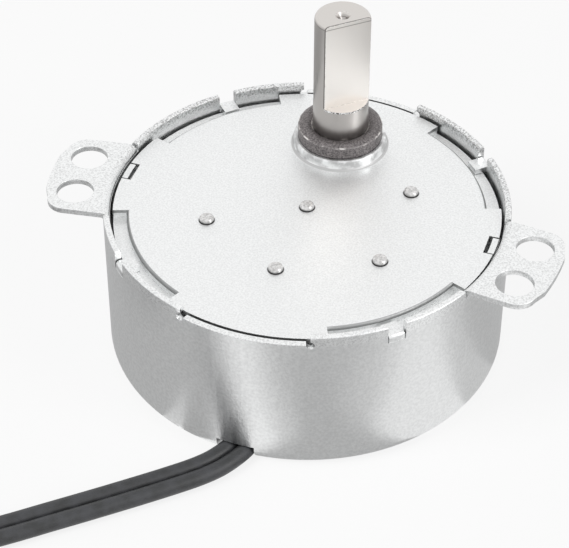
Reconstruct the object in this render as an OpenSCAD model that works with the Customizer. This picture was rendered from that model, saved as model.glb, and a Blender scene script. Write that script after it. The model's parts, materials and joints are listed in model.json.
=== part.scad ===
// Synchronous gear motor: a claw-pole motor and a five-mesh spur train in one drawn steel can.
// The origin is the centre of the can's base. +Z runs along every shaft, towards the output end.
// +X runs through the two locating tongues, and +Y runs to the output shaft.

/* [Can] */
// Outer diameter of the can's wall
can_d = 50; // [48:0.5:56]
// Height of the can's low rim above its base
can_h = 19.5; // [19:0.5:24]
// Sheet thickness of the can and its ears
can_t = 0.8; // [0.6:0.1:1]
// How far the raised rim stands above the low rim
rim_rise = 1.2; // [0.8:0.1:1.8]
// Angle taken by each of the two low rim stretches
low_rim_span = 37; // [30:1:44]
// Outer radius of the bend between wall and base
base_bend_r = 1.6; // [1.2:0.1:2.2]

/* [Mounting ears] */
// Distance of the ear holes' circle from the can's wall
ear_hole_out = 3.6; // [3:0.1:5]
// Diameter of an ear hole
ear_hole_d = 4.6; // [3.2:0.1:5]
// Distance between the two holes of one ear
ear_hole_pitch = 6.9; // [5.5:0.1:8]
// How far each ear is turned from the X axis, away from the output shaft
ear_turn = 7.6; // [0:0.1:12]
// Width of an ear
ear_w = 14.2; // [12:0.1:16]
// Reach of an ear's outer edge from the can's wall
ear_out = 7.3; // [6.5:0.1:9]
// Corner radius of an ear
ear_corner_r = 2.4; // [1:0.1:3]

/* [Cover plate] */
// Sheet thickness of the cover plate
cover_t = 0.8; // [0.6:0.1:1]
// Radial gap between the cover plate's edge and the can's wall
cover_gap = 0.35; // [0.15:0.05:0.4]
// Width of the sunk arcs that the crimp lugs fold into
sunk_w = 1.7; // [1.4:0.1:2.2]
// Depth of the sunk arcs
sunk_depth = 1.1; // [0.8:0.05:1.15]
// Angle taken by each sunk arc
sunk_span = 45; // [36:1:50]
// Height of the drawn collar above the cover plate
collar_h = 1.4; // [1:0.1:2]

/* [Output shaft] */
// Diameter of the output shaft
shaft_d = 7; // [6:0.5:8]
// Height of the shaft's end above the cover plate
shaft_out = 19.3; // [14:0.1:26]
// Thickness left across the flat
shaft_flat_t = 5.2; // [4.5:0.1:6]
// Length of the flat
flat_l = 12.1; // [8:0.1:16]
// Direction that the flat faces at rest
flat_turn = -49; // [-180:1:180]
// Distance from the can's axis to the output shaft
output_offset = 13.9; // [13.7:0.05:14.1]
// Outer diameter of the output bush
bush_d = 10.7; // [10:0.1:11.5]
// Height of the output bush above the cover plate
bush_out = 2.85; // [2:0.05:4]

/* [Gear train] */
// Module of every gear
gear_module = 0.5; // [0.45:0.01:0.5]
// Pressure angle of every gear
pressure_angle = 25; // [20:1:27]
// Teeth of the rotor's pinion
rotor_pinion_teeth = 12; // [11:1:13]
// Teeth of the first wheel and its pinion
first_teeth = [38, 13]; // [36:1:38]
// Teeth of the second wheel and its pinion
second_teeth = [37, 14]; // [36:1:37]
// Teeth of the third wheel and its pinion
third_teeth = [36, 19]; // [34:1:36]
// Teeth of the fourth wheel and its pinion
fourth_teeth = [36, 16]; // [34:1:36]
// Teeth of the output gear
output_teeth = 38; // [36:1:38]
// Thickness of a wheel
wheel_t = 1.2; // [1:0.05:1.25]
// Thickness of the output gear
output_gear_t = 2.4; // [2:0.1:2.5]
// Diameter of the gear pins
pin_d = 1.8; // [1.4:0.1:2]
// How far each pin's end stands above the cover plate
pin_out = 0.6; // [0.3:0.1:0.9]

/* [Rotor and stator] */
// Outer diameter of the ring magnet
magnet_d = 19.2; // [17:0.1:19.4]
// Length of the ring magnet
magnet_h = 7.8; // [6:0.1:7.9]
// Number of claws on each pole ring
claws = 6; // [5:1:7]
// Air gap between magnet and claws
air_gap = 0.5; // [0.4:0.05:0.7]
// Outer diameter of the coil's winding
winding_d = 38.6; // [34:0.2:39]

/* [Lead] */
// Width of the flat twin lead
lead_w = 4; // [3.8:0.1:4.2]
// Thickness of the lead
lead_t = 2; // [1.8:0.1:2]

/* [Hidden] */
$fn = 96;

// Clearances
press_gap = 0.01;
weld_in = 0.03;
run_gap = 0.03;
part_gap = 0.05;
layer_gap = 0.2;
tooth_thinning = 0.04;
eps = 0.01;

// Levels of the stack, from the base up
can_r = can_d / 2;
can_in_r = can_r - can_t;
ear_hole_ring_r = can_r + ear_hole_out;
ear_reach = can_r + ear_out;
rim_z = can_h + rim_rise;
cover_top = can_h + 0.05;
cover_under = cover_top - cover_t;
sunk_top = cover_top - sunk_depth;
sunk_floor_t = 0.7;
bobbin_z0 = can_t + 0.1;
bobbin_h = 9;
bobbin_top = bobbin_z0 + bobbin_h;
plate_t = 0.8;
pole_z0 = bobbin_top + part_gap;
pole_z1 = pole_z0 + plate_t;
frame_t = 1;
frame_z0 = pole_z1 + part_gap;
frame_z1 = frame_z0 + frame_t;

// Four gear layers, each one wheel thick
layer_step = wheel_t + layer_gap;
layer_z0 = frame_z1 + 0.4;
function layer_z(i) = layer_z0 + (i - 1) * layer_step;
hub_z0 = frame_z1 + 0.1;
hub_z1 = cover_under - 0.15;
hub_r = 1.7;

// Places of the axes
function polar(r, a) = [r * cos(a), r * sin(a)];
function mesh_distance(za, zb) = gear_module * (za + zb) / 2;
// The point at distance ra from a and rb from b, on the right of the line from a to b
function circles_meet(a, ra, b, rb) =
    let(d = norm(b - a),
        u = (b - a) / d,
        along = (ra * ra - rb * rb + d * d) / (2 * d),
        side = sqrt(ra * ra - along * along))
    a + along * u + side * [u.y, -u.x];
rotor_at = [0, 0];
output_at = [0, output_offset];
first_bearing = 209.6;
second_bearing = -29.5;
fourth_bearing = -32.3;
first_at = polar(mesh_distance(rotor_pinion_teeth, first_teeth[0]), first_bearing);
second_at = first_at + polar(mesh_distance(first_teeth[1], second_teeth[0]), second_bearing);
fourth_at = output_at + polar(mesh_distance(fourth_teeth[1], output_teeth), fourth_bearing);
third_at = circles_meet(second_at, mesh_distance(second_teeth[1], third_teeth[0]),
                        fourth_at, mesh_distance(third_teeth[1], fourth_teeth[0]));

// Turn of each gear at rest, so that a tooth meets a gap at every mesh
function bearing(a, b) = atan2(b.y - a.y, b.x - a.x);
function meshed_turn(turn_a, za, a, zb, b) =
    bearing(a, b) + 180 + 180 / zb - (turn_a - bearing(a, b)) * za / zb;
rotor_turn = 0;
first_turn = meshed_turn(rotor_turn, rotor_pinion_teeth, rotor_at, first_teeth[0], first_at);
second_turn = meshed_turn(first_turn, first_teeth[1], first_at, second_teeth[0], second_at);
third_turn = meshed_turn(second_turn, second_teeth[1], second_at, third_teeth[0], third_at);
fourth_turn = meshed_turn(third_turn, third_teeth[1], third_at, fourth_teeth[0], fourth_at);
output_turn = meshed_turn(fourth_turn, fourth_teeth[1], fourth_at, output_teeth, output_at);

// Angles round the rim
low_rim_at = [90, 270];
lug_at = [41, 133, 224, 312];
sunk_at = [40, 139, 222, 316];
lug_w = 2;
lug_slot_w = 2.3;
lug_slot_depth = 1.2;
ear_at = [-ear_turn, 180 + ear_turn];
tongue_at = [0, 180];
tongue_w = 2.9;
tongue_r = can_in_r - 0.3;
leg_t = 0.8;
leg_w = 5;

// Claw poles
claw_t = 0.8;
claw_r0 = magnet_d / 2 + air_gap;
claw_r1 = claw_r0 + claw_t;
claw_root_w = 4.4;
claw_tip_w = 2;
base_claw_start = 2.9;
pole_claw_start = 4.7;
rotor_hole_r = 3.8;

// Bends and arcs as points
function arc(c, r, a0, a1, n) = [for (i = [0:n]) c + polar(r, a0 + (a1 - a0) * i / n)];

// A sheet metal pin with a rounded end
module pin(at, z0, z1, r) {
    round = 0.35;
    translate([at.x, at.y, 0]) rotate_extrude()
        polygon(concat([[0, z0], [r, z0]], arc([r - round, z1 - round], round, 0, 90, 5), [[0, z1]]));
}

// A flat ring
module ring(at, r0, r1, z0, z1) {
    translate([at.x, at.y, z0]) difference() {
        cylinder(r = r1, h = z1 - z0);
        translate([0, 0, -eps]) cylinder(r = r0, h = z1 - z0 + 2 * eps);
    }
}

// A wedge of angle span about the direction at, wide enough to cut the whole can
module wedge(at, span, z0, z1) {
    reach = 2 * can_r;
    rotate([0, 0, at]) translate([0, 0, z0]) linear_extrude(z1 - z0)
        polygon(concat([[0, 0]], [for (i = [-2:2]) polar(reach, i * span / 4)]));
}

// Involute gears
function involute_deg(a) = tan(a) * 180 / PI - a;
function flank_deg(r, z) =
    let(rp = gear_module * z / 2,
        a = acos(min(1, rp * cos(pressure_angle) / r)))
    90 / z - tooth_thinning / 2 / rp * 180 / PI + involute_deg(pressure_angle) - involute_deg(a);
function tooth_radii(z) =
    let(rp = gear_module * z / 2,
        start = max(rp * cos(pressure_angle), rp - 1.25 * gear_module),
        tip = rp + gear_module)
    [for (i = [0:3]) start + (tip - start) * i / 3];
function gear_points(z) =
    let(root = gear_module * (z / 2 - 1.25),
        radii = tooth_radii(z),
        foot = flank_deg(radii[0], z))
    [for (k = [0:z - 1])
        let(at = k * 360 / z)
        each concat([polar(root, at - foot)],
                    [for (r = radii) polar(r, at - flank_deg(r, z))],
                    [for (i = [3:-1:0]) polar(radii[i], at + flank_deg(radii[i], z))],
                    [polar(root, at + foot)])];
module gear_body(z, turn, z0, z1) {
    rotate([0, 0, turn]) translate([0, 0, z0]) linear_extrude(z1 - z0) polygon(gear_points(z));
}
// A stamped wheel with a round bore and a ring of holes in its web
module stamped_wheel(at, z, turn, z0, bore_r) {
    web_r = gear_module * z * 0.29;
    hole_r = gear_module * z * 0.07;
    translate([at.x, at.y, 0]) difference() {
        gear_body(z, turn, z0, z0 + wheel_t);
        translate([0, 0, z0 - eps]) cylinder(r = bore_r, h = wheel_t + 2 * eps);
        for (k = [0:4]) rotate([0, 0, turn + 36 + 72 * k]) translate([web_r, 0, z0 - eps])
            cylinder(r = hole_r, h = wheel_t + 2 * eps, $fn = 32);
    }
}
wheel_seat_r = 2.2;
gear_bore_r = pin_d / 2 + run_gap;

// Can: drawn cup, base claws, raised rim, lugs and ears
module can_profile() {
    inner_bend = base_bend_r - can_t;
    polygon(concat([[0, 0]], arc([can_r - base_bend_r, base_bend_r], base_bend_r, -90, 0, 8),
                   [[can_r, can_h], [can_in_r, can_h]],
                   arc([can_r - base_bend_r, base_bend_r], inner_bend, 0, -90, 6),
                   [[0, can_t]]));
}
module raised_rim() {
    edge = 0.2;
    rotate_extrude() translate([can_in_r, can_h - eps]) polygon(concat(
        [[0, 0], [can_t, 0]], arc([can_t - edge, rim_rise + eps - edge], edge, 0, 90, 3),
        arc([edge, rim_rise + eps - edge], edge, 90, 180, 3)));
}
module claw(at, r0, r1, z_root, z_tip) {
    rotate([0, 0, at]) intersection() {
        ring(rotor_at, r0, r1, min(z_root, z_tip), max(z_root, z_tip));
        rotate([90, 0, 90]) linear_extrude(2 * r1)
            polygon([[-claw_root_w / 2, z_root], [claw_root_w / 2, z_root],
                     [claw_tip_w / 2, z_tip], [-claw_tip_w / 2, z_tip]]);
    }
}
module claw_window(at, start, z0, z1) {
    rotate([0, 0, at]) translate([0, 0, z0]) linear_extrude(z1 - z0)
        polygon([[start, -claw_tip_w / 2], [claw_r0, -claw_root_w / 2],
                 [claw_r0, claw_root_w / 2], [start, claw_tip_w / 2]]);
}
ear_bend_in = 0.3;
ear_bend_out = ear_bend_in + can_t - 2 * weld_in;
ear_relief = 0.3;
module ear_sheet() {
    corner = [can_r - weld_in + ear_bend_in, rim_z - ear_bend_out];
    foot_z = can_h - 0.4;
    rotate_extrude() polygon(concat(
        [[can_r - weld_in, foot_z], [corner.x - ear_bend_out, foot_z]],
        arc(corner, ear_bend_out, 180, 90, 6),
        [[ear_reach + 1, rim_z], [ear_reach + 1, rim_z - can_t + 2 * weld_in]],
        arc(corner, ear_bend_in, 90, 180, 4)));
}
module ear_outline() {
    half = ear_w / 2;
    edge_x = sqrt(ear_reach * ear_reach - half * half);
    corner_x = edge_x - ear_corner_r;
    corner_y = half - ear_corner_r;
    polygon(concat([[can_in_r - 2, -half]], arc([corner_x, -corner_y], ear_corner_r, -90, -8, 6),
                   arc([0, 0], ear_reach, -9, 9, 6), arc([corner_x, corner_y], ear_corner_r, 8, 90, 6),
                   [[can_in_r - 2, half]]));
}
module ear(at) {
    hole_turn = asin(ear_hole_pitch / 2 / ear_hole_ring_r);
    rotate([0, 0, at]) difference() {
        intersection() {
            rotate([0, 0, 180]) ear_sheet();
            translate([0, 0, can_h - 1]) linear_extrude(rim_rise + 2) ear_outline();
        }
        for (a = [-hole_turn, hole_turn]) rotate([0, 0, a])
            translate([ear_hole_ring_r, 0, rim_z - 2]) cylinder(d = ear_hole_d, h = 3);
    }
}
module crimp_lug(at) {
    fold = 0.45;
    r0 = can_in_r + weld_in;
    r1 = can_r - weld_in;
    tip_r = can_in_r - 1.5;
    foot_z = can_h - 1.7;
    top_z = sunk_top + part_gap + can_t;
    rotate([0, 0, at]) intersection() {
        rotate([0, 0, 180]) rotate_extrude() polygon(concat(
            [[r0, foot_z], [r1, foot_z]], arc([r1 - fold, top_z - fold], fold, 0, 90, 4),
            [[tip_r, top_z - 0.1], [tip_r, sunk_top + part_gap], [r0, sunk_top + part_gap]]));
        translate([0, -lug_w / 2, foot_z - 1]) cube([can_r + 1, lug_w, 4]);
    }
}
lead_slot_gap = 0.3;
lead_slot_back = 2.1;
lead_slot_past = 3.85;
module can() {
    slot_l = can_r - norm(lead_path[1]) + lead_slot_back + lead_slot_past;
    color("silver") difference() {
        union() {
            difference() {
                rotate([0, 0, 90]) union() {
                    rotate_extrude() can_profile();
                    raised_rim();
                }
                for (a = low_rim_at) {
                    wedge(a, low_rim_span, can_h, rim_z + 1);
                    for (side = [-1, 1]) rotate([0, 0, a + side * low_rim_span / 2])
                        translate([can_in_r - 1, 0, can_h - 0.05]) rotate([0, 90, 0])
                            cylinder(r = 0.5, h = 3, $fn = 24);
                }
                for (a = lug_at) rotate([0, 0, a]) translate([can_in_r - 1, -lug_slot_w / 2, can_h - lug_slot_depth])
                    cube([3, lug_slot_w, lug_slot_depth + rim_rise + 1]);
                for (a = ear_at) rotate([0, 0, a])
                    translate([can_in_r - 3, -ear_w / 2 - ear_relief, can_h])
                        cube([5, ear_w + 2 * ear_relief, 3]);
                for (k = [0:claws - 1])
                    claw_window((k + 0.5) * 360 / claws, base_claw_start, -1, can_t + 1);
                translate([0, 0, -1]) cylinder(r = pin_d / 2 + press_gap, h = can_t + 2);
                translate([lead_route[1].x, lead_route[1].y, -1])
                    rotate([0, 0, bearing(lead_route[1], lead_route[3])])
                        translate([-lead_slot_back, -lead_w / 2 - lead_slot_gap, 0])
                            cube([slot_l, lead_w + 2 * lead_slot_gap, lead_z + lead_t / 2 + 1.1]);
            }
            for (a = ear_at) ear(a);
            for (a = lug_at) crimp_lug(a);
            for (k = [0:claws - 1])
                claw((k + 0.5) * 360 / claws, claw_r0, claw_r1, can_t / 2, can_t + claw_r1 - base_claw_start);
        }
    }
}

// Cover plate: sunk arcs, drawn collar, pin holes and tongue notches
cover_r = can_in_r - cover_gap;
sunk_r = cover_r - sunk_w;
module sunk_section() {
    shoulder = 0.5;
    polygon(concat([[can_r, sunk_top], [can_r, cover_top + 1], [sunk_r - shoulder, cover_top + 1]],
                   arc([sunk_r - shoulder, cover_top - shoulder], shoulder, 90, 0, 5),
                   [[sunk_r, sunk_top]]));
}
module cover_plate() {
    collar_r = bush_d / 2 + 0.55;
    foot = 0.5;
    lip = 0.3;
    color("gainsboro") difference() {
        union() {
            translate([0, 0, cover_under]) cylinder(r = cover_r, h = cover_t);
            for (a = sunk_at) intersection() {
                ring(rotor_at, sunk_r - sunk_floor_t, cover_r - weld_in, sunk_top - sunk_floor_t,
                     cover_under + eps);
                wedge(a, sunk_span + 3, 0, rim_z + 1);
            }
            translate([output_at.x, output_at.y, cover_top - eps]) rotate_extrude() polygon(concat(
                [[bush_d / 2 - 1, 0], [collar_r + foot, 0]],
                arc([collar_r + foot, foot + eps], foot, -90, -180, 5),
                arc([collar_r - lip, collar_h - lip + eps], lip, 0, 90, 4),
                [[bush_d / 2 - 1, collar_h + eps]]));
        }
        translate([output_at.x, output_at.y, cover_under - 1])
            cylinder(r = bush_d / 2 + press_gap, h = collar_h + cover_t + 2);
        for (at = [rotor_at, first_at, second_at, third_at, fourth_at])
            translate([at.x, at.y, cover_under - 1]) cylinder(r = pin_d / 2 + press_gap, h = cover_t + 2);
        for (a = sunk_at) intersection() {
            rotate_extrude() sunk_section();
            wedge(a, sunk_span, 0, rim_z + 1);
        }
        for (a = tongue_at) rotate([0, 0, a])
            translate([tongue_r - leg_t - 0.5, -tongue_w / 2 - 0.2, cover_under - 1])
                cube([can_r, tongue_w + 0.4, cover_t + 2]);
    }
}

// Gear frame: lower plate with two tongued legs and four legs under the crimps
module frame_leg(at, z0, z1, w, inset) {
    rotate([0, 0, at]) intersection() {
        ring(rotor_at, tongue_r - leg_t + inset, tongue_r - inset, z0, z1);
        translate([0, -w / 2, 0]) cube([can_r, w, can_h + 5]);
    }
}
lower_bush_r = 3.75;
module gear_frame() {
    color("lightsteelblue") difference() {
        union() {
            translate([0, 0, frame_z0]) cylinder(r = can_in_r - 0.1, h = frame_t);
            for (a = tongue_at) frame_leg(a, frame_z0 + frame_t / 2, cover_under - part_gap, leg_w, 0);
            for (a = tongue_at) frame_leg(a, cover_under - 1, cover_top - part_gap, tongue_w, weld_in);
            for (a = lug_at) frame_leg(a, frame_z0 + frame_t / 2, sunk_top - sunk_floor_t - part_gap, leg_w, 0);
        }
        translate([0, 0, frame_z0 - 1]) cylinder(r = rotor_hole_r, h = frame_t + 2);
        translate([output_at.x, output_at.y, frame_z0 - 1])
            cylinder(r = lower_bush_r + press_gap, h = frame_t + 2);
        for (at = [first_at, second_at, third_at, fourth_at])
            translate([at.x, at.y, frame_z0 - 1]) cylinder(r = pin_d / 2 + press_gap, h = frame_t + 2);
    }
}

// Pole plate: lids the coil and carries the upper claws
module pole_plate() {
    color("slategray") union() {
        difference() {
            translate([0, 0, pole_z0]) cylinder(r = can_in_r - part_gap, h = plate_t);
            for (k = [0:claws - 1])
                claw_window(k * 360 / claws, pole_claw_start, pole_z0 - 1, pole_z1 + 1);
            translate([0, 0, pole_z0 - 1]) cylinder(r = rotor_hole_r, h = plate_t + 2);
            translate([output_at.x, output_at.y, pole_z0 - 1]) cylinder(r = lower_bush_r + 0.2, h = plate_t + 2);
        }
        for (k = [0:claws - 1])
            claw(k * 360 / claws, claw_r0, claw_r1, pole_z0 + plate_t / 2,
                 pole_z0 - (claw_r1 - pole_claw_start));
    }
}

// Coil: bobbin, winding and tape
bobbin_r0 = claw_r1 + 0.25;
bobbin_r1 = bobbin_r0 + 0.7;
flange_t = 0.8;
flange_r = can_r - base_bend_r - 0.1;
block_r0 = winding_d / 2 + 0.6;
bay_half = 17;
module coil_bobbin() {
    color("ivory") difference() {
        union() {
            ring(rotor_at, bobbin_r0, bobbin_r1, bobbin_z0, bobbin_top);
            ring(rotor_at, bobbin_r0, flange_r, bobbin_z0, bobbin_z0 + flange_t);
            ring(rotor_at, bobbin_r0, flange_r, bobbin_top - flange_t, bobbin_top);
        }
        intersection() {
            ring(rotor_at, block_r0 - 0.2, can_r, bobbin_z0 - 1, bobbin_top - flange_t - 0.5);
            wedge(-90, 2 * bay_half, 0, bobbin_top);
        }
    }
}
winding_z0 = bobbin_z0 + flange_t + part_gap;
winding_z1 = bobbin_top - flange_t - part_gap;
module coil_winding() {
    color("sienna") ring(rotor_at, bobbin_r1 + part_gap, winding_d / 2, winding_z0, winding_z1);
}
module coil_tape() {
    color("khaki") ring(rotor_at, winding_d / 2 + part_gap, winding_d / 2 + 0.2, winding_z0, winding_z1);
}

// Lead: route of its middle line, then the coil that it ends in
lead_z = lead_t / 2 + 0.02;
lead_path = [[-0.15, -22], [-0.4, -23.2], [-0.75, -24.4], [-1.2, -25.5], [-1.75, -26.6], [-2.4, -27.7],
             [-3.2, -28.75], [-4.3, -29.96], [-5.8, -31.4], [-8.8, -34.1], [-13.3, -38], [-17.8, -41.8],
             [-22.2, -45.5], [-26.8, -48.9], [-31.8, -51.3], [-37.2, -52.6], [-42.6, -52.9],
             [-47.8, -52.75], [-53, -52.6]];
lead_route = [for (p = lead_path) [p.x, p.y, lead_z]];
lead_start = lead_route[0];
coil_at = [-53, -33.4];
coil_r = 19.2;
coil_pitch = lead_w + 0.7;
coil_turns = 1.5;
coil_tail = 1.2;
tie_at = 135;
tie_lift = 0.36;
function tie_bump(a) = let(d = ((a - tie_at) % 360 + 540) % 360 - 180) exp(-d * d / 400);
function coil_point(i, n) =
    let(a = -90 - 360 * coil_turns * i / n,
        r = coil_r - coil_pitch * coil_turns * i / n - coil_tail * pow(max(0, i + 5 - n) / 5, 2))
    [coil_at.x + r * cos(a), coil_at.y + r * sin(a), lead_z + tie_lift * tie_bump(a)];
coil_rings = 36;
coil_route = [for (i = [0:coil_rings]) coil_point(i, coil_rings)];
function unit(v) = v / norm(v);
// Direction of a route at point i; a route that starts at the lead's far end goes on as the lead does
coil_first_dir = unit(lead_route[len(lead_route) - 1] - lead_route[len(lead_route) - 2]);
function route_dir(p, i) =
    i == 0 && p == coil_route ? coil_first_dir : unit(p[min(i + 1, len(p) - 1)] - p[max(i - 1, 0)]);
// A flat section of the lead, across the route at point i
function lead_ring(p, i, section) =
    let(d = route_dir(p, i),
        side = unit(cross(d, [0, 0, 1])),
        up = cross(side, d))
    [for (s = section) p[i] + s.x * side + s.y * up];
module lead_tube(p, section) {
    n = len(section);
    last = len(p) - 1;
    points = [for (i = [0:last]) each lead_ring(p, i, section)];
    sides = [for (i = [0:last - 1], k = [0:n - 1]) each
        [[i * n + k, i * n + (k + 1) % n, (i + 1) * n + k],
         [i * n + (k + 1) % n, (i + 1) * n + (k + 1) % n, (i + 1) * n + k]]];
    ends = [for (k = [1:n - 2]) each [[0, k + 1, k], [last * n, last * n + k, last * n + k + 1]]];
    polyhedron(points = points, faces = concat(sides, ends));
}
lead_edge = lead_w / 2 - lead_t / 2;
section_8 = [[lead_w / 2, -0.2 * lead_t], [lead_w / 2, 0.2 * lead_t], [lead_edge, lead_t / 2],
             [-lead_edge, lead_t / 2], [-lead_w / 2, 0.2 * lead_t], [-lead_w / 2, -0.2 * lead_t],
             [-lead_edge, -lead_t / 2], [lead_edge, -lead_t / 2]];
section_6 = [[lead_w / 2, 0], [lead_edge, lead_t / 2], [-lead_edge, lead_t / 2],
             [-lead_w / 2, 0], [-lead_edge, -lead_t / 2], [lead_edge, -lead_t / 2]];
function turn_gap(i) = norm(coil_route[i] - coil_route[i + 24]) - lead_w;
echo(least_gap_between_turns = min([for (i = [0:coil_rings - 24]) turn_gap(i)]));
module lead() {
    color("dimgray") lead_tube(lead_route, section_8);
}
module lead_coil() {
    color("dimgray") lead_tube(coil_route, section_6);
}
end_d = 0.9;
end_l = 5;
module lead_ends() {
    p = coil_route[coil_rings];
    d = route_dir(coil_route, coil_rings);
    side = unit(cross(d, [0, 0, 1]));
    color("gold") for (s = [-1, 1]) translate(p + s * lead_t / 2 * side + part_gap * d)
        rotate([0, 90, atan2(d.y, d.x)]) cylinder(d = end_d, h = end_l, $fn = 24);
}
tie_band_t = 0.25;
tie_w = 2.2;
module lead_tie() {
    half_w = (coil_pitch + lead_w) / 2 + 0.45;
    half_h = lead_t / 2 + 0.1;
    i = floor(coil_rings / coil_turns * (270 - tie_at) / 360 + 0.5);
    mid_r = coil_r - coil_pitch * (i / coil_rings * coil_turns + 0.5);
    color("white") translate([coil_at.x, coil_at.y, lead_z + tie_lift]) rotate([90, 0, tie_at])
        translate([mid_r, 0, -tie_w / 2]) difference() {
            union() {
                translate([-half_w - tie_band_t, -half_h - tie_band_t, 0])
                    cube([2 * (half_w + tie_band_t), 2 * (half_h + tie_band_t), tie_w]);
                translate([half_w - 1.6, half_h, -0.4]) cube([2.6, 1.7, tie_w + 0.8]);
                translate([half_w - 3, half_h + 0.6, 0.3]) cube([1.6, tie_band_t, tie_w - 0.6]);
            }
            translate([-half_w, -half_h, -1]) cube([2 * half_w, 2 * half_h, tie_w + 2]);
        }
}

// Terminal block: grips the lead's end and holds the two coil terminals
block_z1 = bobbin_top - flange_t - 0.1;
module terminal_block() {
    d = route_dir(lead_route, 0);
    color("darkslategray") difference() {
        intersection() {
            ring(rotor_at, block_r0, can_in_r - 0.6, bobbin_z0 + 0.05, block_z1 - 1.6);
            wedge(-90, 2 * bay_half - 3, 0, bobbin_top);
        }
        translate([lead_start.x, lead_start.y, 0]) rotate([0, 0, atan2(d.y, d.x)])
            translate([-part_gap, -20, -1]) cube([20, 25, 4.4]);
        for (x = terminal_x) translate([x, terminal_y, bobbin_z0 + 3.8]) cylinder(r = 0.35 + press_gap, h = 10);
    }
}
terminal_x = [-2.2, 2.2];
terminal_y = -21.6;
module terminal_pins() {
    color("goldenrod") for (x = terminal_x) translate([x, terminal_y, bobbin_z0 + 3.85])
        cylinder(r = 0.35, h = block_z1 - 0.1 - bobbin_z0 - 3.85, $fn = 24);
}

// Rotor: ring magnet on a moulded hub, with the pinion at the hub's upper end
hub_bottom = can_t + 0.45;
magnet_z0 = hub_bottom + 0.35;
magnet_r0 = 4.6;
rotor_hub_r = 3.2;
module rotor_pin() {
    color("lightgray") pin(rotor_at, part_gap, cover_top + pin_out, pin_d / 2);
}
module rotor_washer() {
    color("wheat") ring(rotor_at, gear_bore_r, 2.6, can_t + 0.05, can_t + 0.35);
}
module rotor_magnet() {
    color("darkgray") ring(rotor_at, magnet_r0 + press_gap, magnet_d / 2, magnet_z0, magnet_z0 + magnet_h);
}
module rotor_hub() {
    pinion_z0 = frame_z1 - 0.2;
    pinion_z1 = layer_z(1) + wheel_t + 0.1;
    color("white") difference() {
        union() {
            translate([0, 0, hub_bottom]) cylinder(r = 2.6, h = 1);
            translate([0, 0, magnet_z0]) cylinder(r = magnet_r0, h = magnet_h);
            translate([0, 0, magnet_z0]) cylinder(r = rotor_hub_r, h = pinion_z0 - magnet_z0);
            gear_body(rotor_pinion_teeth, rotor_turn, pinion_z0 - eps, pinion_z1);
        }
        translate([0, 0, hub_bottom - 1]) cylinder(r = gear_bore_r, h = pinion_z1 - hub_bottom + 2);
    }
}
module rotor_sleeve() {
    color("ivory") ring(rotor_at, pin_d / 2 + press_gap, 1.5, layer_z(1) + wheel_t + 0.3, cover_under - 0.1);
}

// Pins of the four gears between the rotor and the output
module gear_pin(at) {
    color("lightgray") pin(at, frame_z0 + part_gap, cover_top + pin_out, pin_d / 2);
}
module first_gear_pin() { gear_pin(first_at); }
module second_gear_pin() { gear_pin(second_at); }
module third_gear_pin() { gear_pin(third_at); }
module fourth_gear_pin() { gear_pin(fourth_at); }

// First gear: one moulding
module first_gear() {
    color("white") translate([first_at.x, first_at.y, 0]) difference() {
        union() {
            gear_body(first_teeth[0], first_turn, layer_z(1), layer_z(1) + wheel_t);
            gear_body(first_teeth[1], first_turn, layer_z(1) + wheel_t - eps, layer_z(2) + wheel_t + 0.1);
            translate([0, 0, hub_z0]) cylinder(r = hub_r, h = hub_z1 - hub_z0);
        }
        translate([0, 0, hub_z0 - 1]) cylinder(r = gear_bore_r, h = hub_z1 - hub_z0 + 2);
    }
}
// A cut steel pinion with a seat for its wheel, and hubs that space it between frame and cover
module seated_pinion(at, z, turn, z0, z1, wheel_z) {
    translate([at.x, at.y, 0]) difference() {
        union() {
            gear_body(z, turn, z0, z1);
            translate([0, 0, hub_z0]) cylinder(r = hub_r, h = hub_z1 - hub_z0);
            translate([0, 0, min(wheel_z, z1 - eps)])
                cylinder(r = wheel_seat_r, h = max(z0 + eps, wheel_z + wheel_t) - min(wheel_z, z1 - eps));
        }
        translate([0, 0, hub_z0 - 1]) cylinder(r = gear_bore_r, h = hub_z1 - hub_z0 + 2);
    }
}
seat_bore_r = wheel_seat_r + press_gap;
module second_wheel() {
    color("lightsteelblue") stamped_wheel(second_at, second_teeth[0], second_turn, layer_z(2), seat_bore_r);
}
module second_pinion() {
    color("gray") seated_pinion(second_at, second_teeth[1], second_turn,
                                layer_z(2) + wheel_t, layer_z(3) + wheel_t + 0.1, layer_z(2));
}
module third_wheel() {
    color("lightsteelblue") stamped_wheel(third_at, third_teeth[0], third_turn, layer_z(3), seat_bore_r);
}
module third_pinion() {
    color("gray") seated_pinion(third_at, third_teeth[1], third_turn,
                                layer_z(3) + wheel_t, layer_z(4) + wheel_t + 0.1, layer_z(3));
}
module fourth_wheel() {
    color("lightsteelblue") stamped_wheel(fourth_at, fourth_teeth[0], fourth_turn, layer_z(4), seat_bore_r);
}
module fourth_pinion() {
    color("gray") seated_pinion(fourth_at, fourth_teeth[1], fourth_turn,
                                layer_z(1) - 0.1, layer_z(1) + output_gear_t + 0.2, layer_z(4));
}

// Output: gear on the shaft, held up by the lower bush and down by a ring under the cover
shaft_top = cover_top + shaft_out;
journal_r = 2.5;
bush_flange_t = 0.35;
gear_z0 = frame_z1 + bush_flange_t + 0.05;
clip_z0 = cover_under - 1;
clip_t = 0.4;
groove_r = shaft_d / 2 - 0.4;
// The flatted end is ground this much under the shaft's radius, to let a hub slide on
end_relief = 0.02;
end_relief_l = 0.6;
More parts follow.
